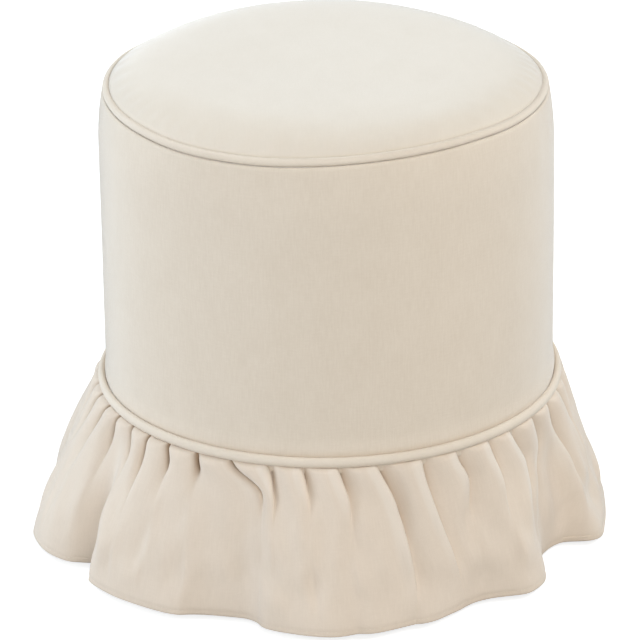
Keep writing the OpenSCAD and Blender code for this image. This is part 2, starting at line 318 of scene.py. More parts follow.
# %% Outlines
class Outline:
    """A line of (distance from the middle, height), walked along by its length."""

    def __init__(self, points):
        self.points = [Vector(p) for p in points]
        self.marks = [0.0]
        for a, b in zip(self.points, self.points[1:]):
            self.marks.append(self.marks[-1] + (b - a).length)
        self.length = self.marks[-1]

    def at(self, share):
        mark, last = min(max(share, 0.0), 1.0) * self.length, len(self.marks) - 1
        k = next((i for i in range(1, last) if self.marks[i] >= mark), last)
        step = (mark - self.marks[k - 1]) / max(self.marks[k] - self.marks[k - 1], 1e-9)
        return self.points[k - 1].lerp(self.points[k], step)


full_turn = 2 * pi
back = radians(90)          # where the joins are, out of sight behind


def round_point(angle, radius, height):
    return Vector((radius * cos(angle), radius * sin(angle), height))


def arc(centre, radius, start, end, steps):
    turns = (radians(start + (end - start) * i / steps) for i in range(steps + 1))
    return [(centre[0] + radius * cos(a), centre[1] + radius * sin(a)) for a in turns]


def strip_cut(radius, line, pace=1.0):
    """The flat place on a straight strip that goes once round the stool."""
    return lambda s, t: (s * full_turn * radius, t ** pace * line.length)


def disc_cut(s, reach):
    """The flat place on a round panel."""
    return round_point(back + full_turn * s, reach, 0).xy


def smooth(x, low, high):
    """0 up to low, 1 from high, and smooth between them."""
    x = min(max((x - low) / (high - low), 0.0), 1.0)
    return x * x * (3 - 2 * x)


def bell(x, width):
    """1 at 0, falling off smoothly to both sides."""
    return exp(-((x / width) ** 2))


def uneven(angle, radius, height):
    """A soft unevenness from -1 to 1 that closes round the stool, finer at a larger radius."""
    return noise.noise(round_point(angle, radius, height))


# %% [markdown]
# ## The main measures
# These are the named values of the CAD source, because a replaced piece stays where its
# solid is. The seat seam isn't quite level: it dips a little at the left front and
# rises at the right front, as hand-pulled covers do.

# %% Measures
seam_z = 450 * mm           # middle of the seat piping
seat_ring = 206.9 * mm      # radius of the seat piping's middle line
wall = 215.4 * mm           # radius of the wall's cloth, at its middle
crown_rise = 23.4 * mm
crown_edge = 204.1 * mm
wrap = 4.9 * mm             # how far the panels' cloth lies from the piping's middle
turn_down = 64.6            # where the panels leave the piping, in degrees
layer = 2.1 * mm
allowance = 12 * mm
shoulder_z, shoulder_top_z = 398 * mm, 447.17 * mm
shoulder_in = 4.5 * mm
skirt_seam = 156 * mm
cloth_thick = 1.2 * mm

seam_waves = [
    (-180, 0.6), (-150, -0.6), (-128, -2.6), (-108, -2.0), (-90, 0.4), (-72, 2.6), (-52, 3.6),
    (-34, 1.6), (-10, 0), (12, -3.2), (34, -5.4), (56, -4.2), (84, 0), (115, -0.4), (142, -2.6),
    (160, -0.5), (180, 0.6),
]


def eased(table, x):
    """Smooth value of a table of (angle, value) without overshooting its points."""
    k = max(i for i in range(len(table) - 1) if table[i][0] <= x)

    def slope(i):
        if i <= 0 or i >= len(table) - 1:
            return 0.0
        before = (table[i][1] - table[i - 1][1]) / (table[i][0] - table[i - 1][0])
        after = (table[i + 1][1] - table[i][1]) / (table[i + 1][0] - table[i][0])
        return 0.0 if before * after <= 0 else 2 * before * after / (before + after)

    (x0, y0), (x1, y1) = table[k], table[k + 1]
    width = x1 - x0
    s = (x - x0) / width
    return (
        y0 * (1 + 2 * s) * (1 - s) ** 2 + y1 * s * s * (3 - 2 * s)
        + width * (slope(k) * s * (1 - s) ** 2 - slope(k + 1) * s * s * (1 - s))
    )


def within_a_turn(angle):
    """The same angle in degrees, from -180 up to 180."""
    return (angle + 180) % 360 - 180


def seam_wave(angle):
    """How far the seat's seam lies above its level at an angle."""
    return eased(seam_waves, within_a_turn(degrees(angle))) * mm


waves = [round(seam_wave(radians(a)) / mm, 1) for a in (-128, -52)]
print("the seat seam dips and rises by", waves, "mm")

# %% [markdown]
# ## Linen
# The cover is one plain-woven cloth in natural white. Close to, it is crossing threads
# a little over half a millimetre apart, some of them thicker for a few centimetres.
# From a metre away only those slubs show, as faint upright and level streaks. The
# threads go into the bump, the slubs into bump and colour, and a sheen gives the pale
# bloom that cloth has where it turns away.

# %% Linen finish
def linen(name, light, dark, turn=0.0, slubs=1.0, sheen=0.9, painted_light_and_dust=None):
    finish = Finish(
        name, roughness=0.95, Specular_IOR_Level=0.18,
        Sheen_Weight=sheen, Sheen_Roughness=0.34, Sheen_Tint=white,
    )
    flat = finish.cut(turn)
    pitch = 0.62 * mm
    drift = finish.speckle(finish.stretched(flat, 60, 60), detail=1.0)
    warp = abs((finish.part(flat, "X") * (pi / pitch) + drift * 5).sine())
    weft = abs((finish.part(flat, "Y") * (pi / pitch) + drift * 4).sine())
    threads = warp * 0.55 + weft * 0.45
    upright = finish.speckle(finish.stretched(flat, 640, 60), detail=3.0, roughness=0.65)
    level = finish.speckle(finish.stretched(flat, 110, 560), detail=3.0, roughness=0.65)
    slub = finish.ramp(upright, 0.3, 0.75) * 0.6 + finish.ramp(level, 0.3, 0.75) * 0.4
    nap = finish.speckle(finish.stretched(flat, 34, 22), detail=4.0, roughness=0.6)
    tone = slub * (0.5 * slubs) + threads * 0.14 + nap * 0.6
    colour = finish.blend(tone, dark, light)
    # An optional hook paints marks into the colour: painted shade and painted highlight, and on
    # the skirt also dust at the hem.
    if painted_light_and_dust:
        colour = painted_light_and_dust(finish, colour)
    roughness = 0.88 + slub * 0.1
    height = threads * 0.7 + slub * 0.5
    return finish.surface(colour, roughness, height, rise=0.00022, strength=0.55)


linen_light, linen_dark = paint(229, 217, 201), paint(217, 203, 185)

# %% [markdown]
# ## Seat panel
# The seat is a round panel pulled over wadding and sewn to the piping. It rises quickly
# from its edge and then rounds over gently. Its outline goes from the middle out, round
# the inner side of the piping and down into the seam. Fine puckers run in from the
# seam, where the round edge was eased onto the piping.

# %% Seat panel
crown_foot = 4.0 * mm       # how far above the piping's middle the seat panel meets it
seat_pace = 0.8             # sets the rows closer together towards the edge
crown = [
    (radius, seam_z + crown_foot + (crown_rise - crown_foot) * (1 - (radius / crown_edge) ** 10))
    for radius in (crown_edge * sin(radians(a)) for a in range(0, 91, 3))
]
round_piping = arc((seat_ring, seam_z), wrap - 0.6 * mm, 125, 180 + turn_down, 7)
seat_line = Outline(crown + round_piping + [(seat_ring - layer, round_piping[-1][1] - allowance)])


def seat_place(s, t):
    angle = back + full_turn * s
    radius, height = seat_line.at((1 - t) ** seat_pace)
    pucker = sin(angle * 57 + 3 * sin(angle * 5)) * 0.35 * mm
    pucker *= smooth(radius, 176 * mm, 197 * mm) * (1 - smooth(radius, 198.5 * mm, 202 * mm))
    settle = uneven(angle, radius / 0.09, 0) * 0.9 * mm
    settle *= 1 - smooth(radius, 185 * mm, 200 * mm)
    height += seam_wave(angle) * smooth(radius, 150 * mm, crown_edge) + pucker + settle
    return round_point(angle, radius, height)


def seat_cut(s, t):
    return disc_cut(s, seat_line.length * (1 - t) ** seat_pace)


seat_cover = cloth_piece("seat_panel", 320, 72, seat_place, seat_cut, cloth_thick)
# The seat's linen is painted a touch lighter and cooler than the wall's. This is painted light,
# standing for the light that falls on the top.
seat_linen_painted_lighter = linen("seat_linen_painted_lighter", paint(230, 220, 206), paint(219, 208, 192), slubs=0.5)
dress(seat_cover, seat_linen_painted_lighter, "linen_cloth")
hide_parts("seat_cover")
print("seat panel cut as a disc of", round(2 * seat_line.length / mm), "mm")

# %% [markdown]
# ## Wall panel
# The wall is one straight strip, sewn into a tube with a seam at the back and pulled
# over the padded frame. Near the top it draws in to the piping in a soft shoulder. Wide,
# shallow swells follow the wadding below, and a faint pull runs down from the seat seam.

# %% Wall panel
touch = degrees(acos(4.0 * mm / wrap))   # where the shoulder comes to the piping
shoulder = [
    (wall - shoulder_in * share ** 1.7, shoulder_z + share * (shoulder_top_z - shoulder_z))
    for share in (i / 20 for i in range(21))
]
over_piping = arc((seat_ring, seam_z), wrap, -touch - 3, -turn_down, 4)
wall_line = Outline([
    (wall, skirt_seam - allowance), *shoulder, *over_piping,
    (seat_ring + layer, over_piping[-1][1] - allowance),
])


def wall_place(s, t):
    angle = back + full_turn * s
    radius, height = wall_line.at(t)
    free = smooth(height, 160 * mm, 190 * mm) * (1 - smooth(height, 425 * mm, 446 * mm))
    swell = uneven(angle, 0.2 / 0.11, (height * 0.6 + 3) / 0.11) * 0.9 * mm
    pull = uneven(angle, 9, 7.1) * 0.35 * mm * smooth(height, 330 * mm, 430 * mm)
    radius += (swell + pull) * free
    if t > 0.5:
        height += seam_wave(angle) * smooth(t * wall_line.length, 130 * mm, 285 * mm)
    radius += 1.5 * mm * bell(height - 164 * mm, 7.5 * mm)
    join = min(s, 1 - s) * full_turn * wall
    radius -= 0.7 * mm * bell(join, 1.6 * mm) * smooth(height, 150 * mm, 170 * mm)
    return round_point(angle, radius, height)


wall_cut = strip_cut(wall, wall_line)
wall_cover = cloth_piece("wall_panel", 420, 96, wall_place, wall_cut, cloth_thick)
dress(wall_cover, linen("wall_linen", linen_light, linen_dark, slubs=1.1), "linen_cloth")
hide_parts("side_cover")
print("wall panel cut", round(2 * pi * wall / mm), "by", round(wall_line.length / mm), "mm")

# %% [markdown]
# ## Piping
# Piping is a narrow strip cut at 45 degrees to the weave, so that it bends round the
# seam without puckering, folded over a cord and sewn close to it. It is made here as
# that strip: up one side of the seam allowance, round the cord and down the other side.
# It is a little thicker where its ends overlap at the back.

# %% Piping cloth
def piping_painted_highlight(finish, colour):
    """A painted highlight: the band along the piping's outermost line is a touch paler."""
    across = finish.mark("round")
    proud_highlight = finish.ramp(across, 0.30, 0.52) - finish.ramp(across, 0.55, 0.80)
    # Painted highlight: the proud band is blended towards a paler cream.
    return finish.blend(proud_highlight * 0.5, colour, paint(232, 221, 206))


piping_linen = linen(
    "piping_linen", paint(228, 216, 200), paint(214, 200, 182),
    turn=radians(45), slubs=0.8, sheen=0.4, painted_light_and_dust=piping_painted_highlight,
)


def piping(name, node, ring, outline, waves):
    """A folded strip round the stool, from an outline that starts and ends in the seam.

    The seat's seam has waves, 1, and the skirt's has none, 0."""
    line = Outline(outline)
    middle = sum(p.y for p in line.points[2:-2]) / (len(line.points) - 4)

    def place(s, t):
        angle = back + full_turn * s
        radius, height = line.at(t)
        join = min(s, 1 - s) * full_turn * ring
        thicker = 0.35 * mm * bell(join - 5 * mm, 7 * mm)
        pull = uneven(angle, 25, ring * 10) * 0.18 * mm + thicker
        out = Vector((radius - ring, height - middle))
        if 0.12 < t < 0.88:
            out *= 1 + pull / max(out.length, 1 * mm)
        return round_point(angle, ring + out.x, middle + out.y + waves * seam_wave(angle))

    piece = cloth_piece(name, 360, 30, place, strip_cut(ring, line), cloth_thick)
    mark = piece.data.attributes.new("round", "FLOAT", "POINT")
    for point in piece.data.vertices:
        out = Vector((hypot(point.co.x, point.co.y) - ring, point.co.z - middle))
        mark.data[point.index].value = 0.5 + 0.5 * atan2(out.y, out.x) / pi
    dress(piece, piping_linen, "piping_cloth")
    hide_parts(node)
    print(name, "strip of", round(2 * pi * ring / mm), "by", round(line.length / mm), "mm")


seat_cord = 3.4 * mm
seat_fold = [
    (seat_ring - 0.65 * mm, seam_z - 16 * mm), *arc((seat_ring, seam_z), seat_cord, 259, -79, 26),
    (seat_ring + 0.65 * mm, seam_z - 16 * mm),
]
piping("seat_piping_strip", "seat_piping", seat_ring, seat_fold, waves=1)

# %% [markdown]
# The skirt's piping holds a thicker cord that the pull of the cover presses flat
# against the wall, so its section is an oval.

# %% Skirt piping
skirt_ring = 220.4 * mm
oval_wide, oval_high = 3.2 * mm, 4.5 * mm   # half the width and height of the section
oval = [
    (skirt_ring + x * oval_wide / oval_high, z)
    for x, z in arc((0, skirt_seam), oval_high, 180, -131, 26)
]
skirt_fold = [
    (skirt_ring - 3.5 * mm, skirt_seam - allowance), *oval, (218.1 * mm, skirt_seam - allowance),
]
piping("skirt_piping_strip", "skirt_piping", skirt_ring, skirt_fold, waves=0)

# %% [markdown]
# ## The gathered skirt
# The skirt takes the most care. It is a straight strip about 1.9 m long, gathered to
# 1.4 m at the seam. Near the seam the spare cloth stands in small, sharp creases a few
# centimetres apart, and lower down it swings out in broad lobes. A cloth simulation
# alone gives some ruffle, but not this one. So each crease is described first, the
# grid's columns follow the creases, and only then a short simulation settles the cloth.

# %% Creases
# The places a crease passes as (share of the drop, angle), its depth in mm, how far
# down it reaches, and the shares of the cloth beside it over which the surface rises
# again on its right and sinks on its left.
Crease = namedtuple("Crease", "path depth reach opening closing")
creases = [Crease(*row) for row in (
    ([(0, -168.5), (1, -172)], 5.5, 0.40, 0.30, 0.40),
    ([(0, -161), (0.21, -162.9), (1, -165)], 6, 0.50, 0.25, 0.45),
    ([(0, -154.2), (0.24, -154.7), (1, -154.4)], 7.5, 0.55, 0.22, 0.40),
    ([(0, -147.7), (0.07, -145.8), (0.13, -144.7), (1, -146.4)], 6, 0.35, 0.22, 0.35),
    ([(0, -140.2), (0.18, -139.7), (1, -139.5)], 7.5, 0.50, 0.20, 0.40),
    ([(0, -133.5), (0.08, -131.8), (0.28, -131.9), (1, -131.5)], 6, 0.40, 0.25, 0.35),
    ([(0, -124.5), (0.11, -123.4), (1, -122)], 6, 0.32, 0.30, 0.30),
    ([(0, -115.4), (0.04, -114.4), (0.08, -112), (0.105, -109.8), (0.13, -107.6),
      (0.19, -106.2), (1, -105.4)], 6.5, 0.42, 0.35, 0.12),
    ([(0, -105.9), (0.06, -105), (0.22, -103.2), (1, -100.6)], 8.5, 0.36, 0.55, 0.08),
    ([(0, -97.5), (0.2, -94.9), (1, -92.5)], 8, 0.32, 0.6, 0.08),
    ([(0, -89), (0.2, -86), (1, -84.6)], 9, 0.45, 0.65, 0.07),
    ([(0, -79.5), (0.2, -75.9), (0.39, -74.1), (0.73, -72.3), (1, -73.6)], 9, 1.25, 0.6, 0.06),
    ([(0, -67.9), (0.15, -67.3), (0.29, -66.1), (0.48, -64.2), (0.68, -61.8), (1, -60.6)],
     9, 1.05, 0.6, 0.07),
    ([(0, -58.4), (0.09, -57.6), (0.16, -55.6), (0.23, -55.3), (0.42, -55.9), (1, -55)],
     8.5, 0.6, 0.6, 0.07),
    ([(0, -48.5), (0.19, -47.1), (0.3, -46.5), (1, -46.9)], 9.5, 0.55, 0.55, 0.08),
    ([(0, -40.8), (0.08, -39.5), (0.22, -36.8), (0.35, -36.6), (1, -38.4)], 9.5, 0.8, 0.5, 0.08),
    ([(0, -30.6), (0.13, -28.5), (0.23, -27.8), (0.33, -29.4), (1, -30.5)], 9.5, 0.7, 0.4, 0.1),
    ([(0, -21.3), (0.3, -18.4), (0.6, -16.2), (1, -20.3)], 9.5, 0.9, 0.4, 0.12),
    ([(0, -12.6), (0.3, -9.5), (1, -11.5)], 8.5, 0.7, 0.4, 0.12),
)]
# Round the back the creases run straight: the angles at the seam and at the hem, and
# then the same four values.
creases += [Crease([(0, top), (1, foot)], *shape) for top, foot, *shape in (
    (-3.8, -2.5, 7.5, 0.34, 0.4, 0.2), (5.2, 6.4, 8, 0.36, 0.3, 0.3),
    (14.6, 16.8, 7.5, 0.42, 0.4, 0.12), (23, 24.4, 8.5, 0.5, 0.2, 0.35),
    (32.1, 33, 8, 0.34, 0.5, 0.12), (41.4, 43.5, 7.5, 0.3, 0.35, 0.24),
    (50.3, 52.6, 8, 0.4, 0.5, 0.1), (59.2, 60.4, 8.5, 0.55, 0.22, 0.35),
    (68.5, 68.2, 8, 0.32, 0.35, 0.2), (77.2, 78.1, 7.5, 0.3, 0.45, 0.16),
    (86.3, 87.5, 8, 0.36, 0.3, 0.3), (95.4, 96.6, 8, 0.3, 0.5, 0.12),
    (104, 103.2, 8.5, 0.44, 0.25, 0.3), (113.3, 111.2, 8, 0.5, 0.3, 0.3),
    (122.3, 121.8, 7.5, 0.32, 0.4, 0.2), (131, 131.6, 8, 0.34, 0.5, 0.12),
    (140.4, 140.6, 8, 0.4, 0.25, 0.35), (149.2, 148.4, 8.5, 0.55, 0.2, 0.4),
    (158, 157, 8, 0.34, 0.4, 0.2), (167, 165.6, 7.5, 0.3, 0.35, 0.3),
    (175.6, 175, 8.5, 0.5, 0.25, 0.35), (183.8, 181.4, 8, 0.36, 0.3, 0.3),
)]
# The hem's distance from the middle in mm, by angle: lobes and the valleys between them
hem_reach = [
    (-180, 275), (-172, 292), (-168.5, 294.6), (-163.9, 293.3), (-161, 291), (-158, 285),
    (-155.6, 278), (-154.2, 266.6), (-152.6, 254), (-150, 245), (-147.8, 260), (-146, 280),
    (-143, 282), (-137.6, 282), (-133, 280), (-128.6, 278.4), (-124.5, 276.5), (-122, 273),
    (-120, 265.5), (-116, 257.5), (-112, 254), (-109.3, 252), (-106.2, 258), (-104.4, 267.6),
    (-103, 271.5), (-98, 278), (-94.4, 282), (-90, 284.7), (-87.6, 282.7), (-85.3, 278.8),
    (-83, 280.6), (-78, 275.5), (-74.2, 271), (-72, 273), (-69, 270.7), (-66, 264), (-62.6, 259),
    (-60.7, 255.4), (-57.5, 252), (-54.3, 254), (-49.7, 264.5), (-47.6, 270.4), (-46.2, 271.8),
    (-41.7, 268.4), (-38, 259), (-34, 243), (-28, 231), (-25, 231.6), (-21.2, 238), (-20.1, 246),
    (-19.5, 257), (-18.5, 269), (-16.2, 274), (-10.5, 271.6), (0, 270), (8, 272), (16, 274),
    (20, 262), (25, 249), (30, 262), (36, 273), (44, 279), (53, 262), (60, 247), (68, 268),
    (82, 281), (94, 280), (103, 260), (109, 246), (118, 270), (130, 279), (141, 262), (148, 242),
    (154, 276), (159, 293), (163, 286), (168, 264), (174, 251), (180, 275),
]
print(len(creases), "creases at the seam and a hem with", len(hem_reach), "set points")

# %% [markdown]
# Between two creases the surface is one gather. `tooth` gives its section: 0 at the
# bottom of a crease and 1 on the cloth between. Where the closing share is small, the
# fold has a sharp edge that hangs over its crease a little. The rows lie closest
# together under the seam and again in the turned hem.

# %% Gathers and rows
skirt_top, skirt_seam_r = 151.4 * mm, 220.0 * mm
skirt_drop = 148 * mm
skirt_thick = 1.1 * mm
gather_columns = 10
skirt_columns = len(creases) * gather_columns
free_rows, free_share = 22, 0.935
hem_low, hem_lift = 3 * mm, 4 * mm
puff_out = 5.6 * mm
belly_out = 2.8 * mm
# The hem's rows: (height above its fold, how far inside the face), in mm. The second
# is drawn in by the stitches, and the last three are the part turned up inside.
hem_rows = [(7.0, 0), (4.8, 0.75), (2.6, -0.1), (0.3, 0.2), (0.4, 2.0), (2.6, 2.3), (6.0, 2.3)]
sharp = 0.2                 # a fold that closes faster than this has a sharp edge
tuck_deep = 11              # the deepest a tuck goes, in mm
stitch_row = free_rows + 2
skirt_rows = free_rows + len(hem_rows)


def row_drop(row):
    """How far down a row lies, as a share of the drop, and how far inside the face."""
    if row > free_rows:
        above, inside = hem_rows[row - free_rows - 1]
        return 1 - above * mm / skirt_drop, inside * mm
    if row == 0:
        return 0.0, 0.0
    return 0.006 + ((row - 1) / (free_rows - 1)) ** 1.3 * (free_share - 0.006), 0.0


def along_path(path, drop):
    """The crease's angle at a drop, averaged a little so that it has no corners."""
    def angle(at):
        k = max(i for i in range(len(path) - 1) if path[i][0] <= at)
        (a, x), (b, y) = path[k], path[k + 1]
        return x + (y - x) * (at - a) / (b - a)

    return (angle(max(0.0, drop - 0.03)) + 2 * angle(drop) + angle(min(1.0, drop + 0.03))) / 4


def leaving(drop):
    """0 in the seam and 1 from a few millimetres below it."""
    return 1 - exp(-drop / 0.004)


def crease_depth(crease, drop):
    """The slow-opening creases are shallow at first, and all run out at their reach."""
    early = 1 - 0.6 * (1 - smooth(crease.opening, 0.3, 0.5)) * (1 - smooth(drop, 0.03, 0.14))
    full = 1.3 * early * crease.depth * mm * leaving(drop)
    return full * (1 - smooth(drop, 0.1 * crease.reach, crease.reach))


def warped(s):
    """Sets the columns closer together beside the creases."""
    return s - 0.7 * sin(2 * pi * s) / (2 * pi)


def gather_at(column):
    """A column's gather, the creases on its left and right, and its share of the way."""
    gather, inside = divmod(column % skirt_columns, gather_columns)
    right = creases[(gather + 1) % len(creases)]
    return gather, creases[gather], right, warped(inside / gather_columns)


def slot(apart):
    """The narrow tuck at a crease, 1 in its middle and 0 from a few mm beside it."""
    return max(0.0, 1 - apart / 0.08) ** 1.2


def slot_depth(crease, drop):
    """The tuck is deepest at the seam and runs out long before the crease itself."""
    reach = min(0.24, 0.1 + 0.25 * crease.reach)
    deepest = (tuck_deep - 7 * smooth(crease.opening, 0.3, 0.5)) * mm
    return deepest * leaving(drop) * (1 - smooth(drop, 0.3 * reach, reach))


def tooth(s, opening, closing):
    """A gather's section, from 0 in the crease on its left to 0 in the one on its right."""
    rise = 1 - (1 - min(s / opening, 1.0)) ** (2.2 - 1.2 * smooth(opening, 0.2, 0.6))
    fall = 1 - (1 - min((1 - s) / closing, 1.0)) ** 2
    return rise * fall


# %% [markdown]
# `skirt_point` adds it all up for one point: the flare towards the hem, the cloth's
# puff under the piping, its uneven swells, which are livelier at the right front, the
# creases, and the small lip of a sharp fold.

# %% A point of the skirt
def skirt_point(column, row):
    gather, left, right, s = gather_at(column)
    drop, inward = row_drop(row)
    start, end = along_path(left.path, drop), along_path(right.path, drop)
    if end < start:
        end += 360
    angle = start + (end - start) * s
    hem_r = eased(hem_reach, within_a_turn(angle)) * mm
    turn = radians(angle)
    puff = puff_out * (1 - 0.25 * cos(turn)) * leaving(drop)
    puff *= 1 + 0.35 * uneven(turn, 6, 0.2) * exp(-drop / 0.25)
    radius = skirt_seam_r + puff + (hem_r - skirt_seam_r - puff_out) * drop ** 0.97
    radius += belly_out * (1 - 1.3 * cos(turn)) * sin(pi * drop ** 1.5)
    free = drop * (1 - smooth(drop, 0.7, 0.95))
    radius += 6 * mm * free * uneven(turn, 5.5, drop * 1.2)
    lively = 1 + 0.5 * cos(turn + radians(45))
    radius += 7.5 * mm * free * lively * uneven(turn, 13, 3 + drop * 3.5)
    radius += 3.8 * mm * free * lively * uneven(turn, 27, 9 + drop * 5)
    pillow = 1 + 0.4 * noise.noise(Vector((gather * 2.3, 0.7, 0.1)))
    pillow *= (1 - exp(-drop / 0.02)) * exp(-drop / 0.22)
    radius += 2.8 * mm * pillow * sin(pi * s) ** 2
    before, after = crease_depth(left, drop), crease_depth(right, drop)
    depth = before + (after - before) * smooth(s, 0.35, 0.75)
    radius -= depth * (1 - tooth(s, left.opening, right.closing)) + inward
    radius -= slot_depth(left, drop) * slot(s) + slot_depth(right, drop) * slot(1 - s)
    lip = 0.5 * after * bell((1 - s) - 0.03, 0.07) * max(0.0, 1 - right.closing / sharp)
    turn = radians(angle + degrees(lip / radius))
    low_z = hem_low + hem_lift * (hem_r - 230 * mm) / (65 * mm)
    inmost = skirt_seam_r - 4.4 * mm * smooth(drop, 0.0, 0.03)
    return round_point(turn, max(radius, inmost), skirt_top - drop * (skirt_top - low_z))


# %% [markdown]
# The cut strip is as long as the hem, because the hem isn't gathered. A column's place
# along the strip is its place along the hem, and its length down the cloth is measured
# on the hung shape. Both go into the weave's map, which also tells the simulation the
# cloth's unstretched size.

# %% Skirt panel
hem_marks = [0.0]
for column in range(skirt_columns):
    here, there = skirt_point(column, stitch_row), skirt_point(column + 1, stitch_row)
    hem_marks.append(hem_marks[-1] + (there - here).length)
hem_length = hem_marks[-1]


def column_drops(column):
    """A column's points, and how far down the cloth each of them lies."""
    points = [skirt_point(column, row) for row in range(skirt_rows + 1)]
    drops = [0.0]
    for above, below in zip(points, points[1:]):
        drops.append(drops[-1] + (below - above).length)
    return points, drops


panel = [column_drops(column) for column in range(skirt_columns)]
panel.append(panel[0])
skirt_flat = (round(hem_length, 2), round(sum(drops[-1] for _, drops in panel) / len(panel), 3))


def skirt_place(s, t):
    return panel[round(s * skirt_columns)][0][round((1 - t) * skirt_rows)]


def skirt_cut(s, t):
    column = round(s * skirt_columns)
    return hem_marks[column], -panel[column][1][round((1 - t) * skirt_rows)]


def skirt_painted_light_mark(s, t):
    """Where shade and highlight are painted: 1 deep in a tuck, 0 on plain cloth and -1 on the edge
    of a sharp fold.
    """
    _, left, right, across = gather_at(round(s * skirt_columns))
    drop, beyond = row_drop(round((1 - t) * skirt_rows))[0] + 0.004, 1 - across
    # Painted shade deep in the tucks under the piping.
    tuck_shade = max(
        slot(across * 0.7) * slot_depth(left, drop), slot(beyond * 0.7) * slot_depth(right, drop),
    )
    # Painted shade in the hollow just beside a sharp fold's crease.
    lee_shade = 0.24 * crease_depth(left, drop) * max(0.0, 1 - across / 0.35) * (left.closing < sharp)
    # Painted highlight along a sharp fold's edge.
    edge = crease_depth(right, drop) * bell(beyond - 0.12, 0.13) * (right.closing < sharp)
    return (max(tuck_shade, lee_shade) - edge) / (tuck_deep * mm)


skirt = cloth_piece(
    "gathered_skirt", skirt_columns, skirt_rows, skirt_place, skirt_cut, 0, ("tuck", skirt_painted_light_mark),
)
print("skirt cut as a strip of", skirt_flat, "m,", skirt_columns, "by", skirt_rows, "faces")

# %% [markdown]
# The shape so far is drawn, and it looks it. In real cloth more length arrives at the
# seam than there is room for, so it bends between the creases. A short simulation puts
# that in: the seam and the hem are held, the strip's true size is its rest shape, and
# everything between settles.

# %% Let the skirt settle
def settle_skirt(piece, frames):
    """Runs Blender's Cloth on the skirt and keeps the result as its mesh."""
    mesh = piece.data
    weave = mesh.uv_layers["weave"].data
    cut = {corner.vertex_index: weave[corner.index].uv.copy() for corner in reversed(mesh.loops)}
    piece.shape_key_add(name="hung")
    flat = piece.shape_key_add(name="cut")
    held = piece.vertex_groups.new(name="held")
    for k, place in cut.items():
        turn = back + full_turn * place.x / hem_length
        flat.data[k].co = round_point(turn, hem_length / full_turn, skirt_top + place.y)
    for point in mesh.vertices:
        share = (skirt_top - point.co.z) / skirt_drop
        firm = 1.0 if share < 0.1 or share > 0.9 else 0.95 - 0.5 * smooth(share, 0.1, 0.8)
        held.add([point.index], firm, "REPLACE")
    cloth = piece.modifiers.new("settle", "CLOTH")
    fabric = cloth.settings
    fabric.quality, fabric.mass, fabric.air_damping = 6, 0.2, 3
    fabric.tension_stiffness = fabric.compression_stiffness = 20
    fabric.shear_stiffness, fabric.bending_stiffness, fabric.bending_damping = 6, 1.0, 0.5
    fabric.vertex_group_mass, fabric.rest_shape_key = "held", flat
    cloth.collision_settings.use_collision = False
    cloth.collision_settings.use_self_collision = False
    cloth.point_cache.frame_start, cloth.point_cache.frame_end = 1, frames
    for moment in range(1, frames + 1):
        bpy.context.scene.frame_set(moment)
    hung = piece.evaluated_get(bpy.context.evaluated_depsgraph_get())
    settled = [point.co.copy() for point in hung.data.vertices]
    bpy.context.scene.frame_set(1)
    piece.modifiers.remove(cloth)
    piece.shape_key_clear()
    piece.vertex_groups.remove(held)
    moved, inmost = 0.0, 216 * mm
    for point, place in zip(mesh.vertices, settled):
        radius = hypot(place.x, place.y)
        if radius < inmost:
            place.xy = place.xy * (inmost / radius)
        place = point.co.lerp(place, smooth((skirt_top - point.co.z) / skirt_drop, 0.1, 0.35))
        moved = max(moved, (place - point.co).length)
        point.co = place
    print("the skirt settled, no point moving more than", round(moved / mm, 1), "mm")


settle_skirt(skirt, frames=24)
fine = skirt.modifiers.new("fine", "SUBSURF")
fine.levels = fine.render_levels = 1
thicken(skirt, skirt_thick, offset=-1)

# %% [markdown]
# The skirt is the same linen. Its hem brushes the floor, so the lowest centimetre is
# slightly browner. The narrow tucks under the piping and the hollows beside sharp folds
# get painted shade, browner the deeper they go, and the folds' sharp edges a painted highlight.

# %% Skirt finish
def skirt_dust_and_painted_light(finish, colour):
    tuck = finish.mark("tuck")
    # Painted shade: the tucks and the hollows beside sharp folds are browner the deeper they go.
    colour = finish.blend(finish.ramp(tuck, 0.02, 0.6) * 0.75, colour, paint(158, 130, 102))
    # Painted highlight: the folds' sharp edges are paler.
    colour = finish.blend(finish.ramp(-1 * tuck, 0.1, 0.9) * 0.38, colour, paint(236, 229, 219))
    low = finish.ramp(finish.part(finish.place(), "Z"), 0.0, 0.016)
    return finish.blend(low, finish.blend(0.3, colour, paint(172, 150, 124)), colour)


skirt_linen = linen(
    "skirt_linen", paint(229, 215, 199), paint(218, 203, 186),
    slubs=0.9, sheen=0.55, painted_light_and_dust=skirt_dust_and_painted_light,
)
dress(skirt, skirt_linen, "skirt_cloth")
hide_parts("ruffle_skirt")

# %% [markdown]
# ## Hem stitching
# The hem is held by a row of short, even stitches that sink a little into the cloth.
# They are small beads of thread, laid along the groove that the skirt already has.

# %% Hem stitches
def hem_stitch(k):
    """A stitch's middle on the groove, the way it runs and the way out of the cloth."""
    share = k / stitch_count * skirt_columns
    column = int(share)
    here, there = skirt_point(column, stitch_row), skirt_point(column + 1, stitch_row)
    along = (there - here).normalized()
    up = (skirt_point(column, stitch_row - 2) - here).normalized()
    return here.lerp(there, share - column), along, along.cross(up).normalized()


